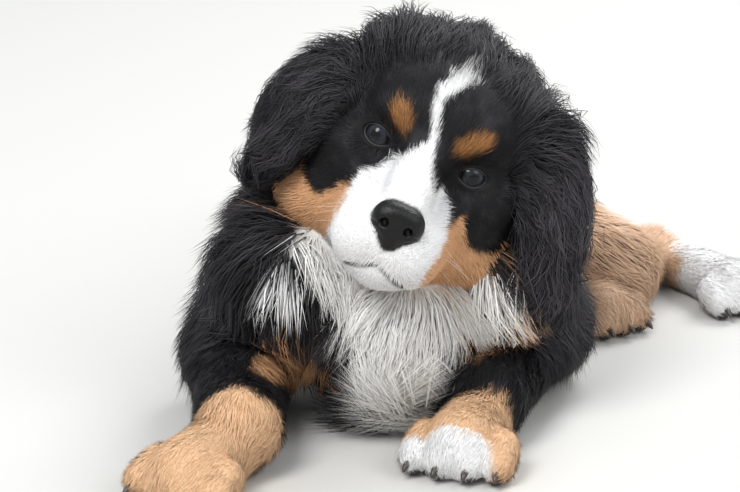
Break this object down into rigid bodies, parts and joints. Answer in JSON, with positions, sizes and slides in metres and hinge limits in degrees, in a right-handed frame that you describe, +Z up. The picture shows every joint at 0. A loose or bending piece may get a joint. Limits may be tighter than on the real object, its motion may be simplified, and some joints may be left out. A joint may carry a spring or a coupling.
{
  "type": "bernese mountain dog",
  "caption": "Life-size still model of a Bernese mountain dog puppy lying down with its head tilted.",
  "frame": {"origin": "on the floor under the middle of the animal's bounding box", "axes": "+Z up, +X to the animal's own left, and the head looks along -Y"},
  "size_m": [0.3722, 0.547, 0.2105],
  "materials": {
    "coat_black": "long soft black coat with a faint sheen",
    "coat_tan": "short dense tan coat, matte",
    "nose_leather": "moist pebbled black skin",
    "eye": "wet dark brown eye",
    "claw": "dark horn, satin"
  },
  "bodies": {
    "root": {"eye_right": "eye", "eye_left": "eye", "nose": "nose_leather", "head": "coat_black", "ear_right": "coat_black", "ear_left": "coat_black", "neck": "coat_black", "torso": "coat_black", "tail": "coat_black", "front_right_upper_arm": "coat_black", "front_right_forearm": "coat_tan", "front_right_paw": "coat_tan", "front_right_paw_claw_1": "claw", "front_right_paw_claw_2": "claw", "front_right_paw_claw_3": "claw", "front_right_paw_claw_4": "claw", "front_left_upper_arm": "coat_black", "front_left_forearm": "coat_tan", "front_left_paw": "coat_tan", "front_left_paw_claw_1": "claw", "front_left_paw_claw_2": "claw", "front_left_paw_claw_3": "claw", "front_left_paw_claw_4": "claw", "hind_right_thigh": "coat_black", "hind_right_shank": "coat_tan", "hind_right_foot": "coat_tan", "hind_right_foot_claw_1": "claw", "hind_right_foot_claw_2": "claw", "hind_right_foot_claw_3": "claw", "hind_right_foot_claw_4": "claw", "hind_left_thigh": "coat_black", "hind_left_shank": "coat_tan", "hind_left_foot": "coat_tan", "hind_left_foot_claw_1": "claw", "hind_left_foot_claw_2": "claw", "hind_left_foot_claw_3": "claw", "hind_left_foot_claw_4": "claw"}
  },
  "joints": []
}
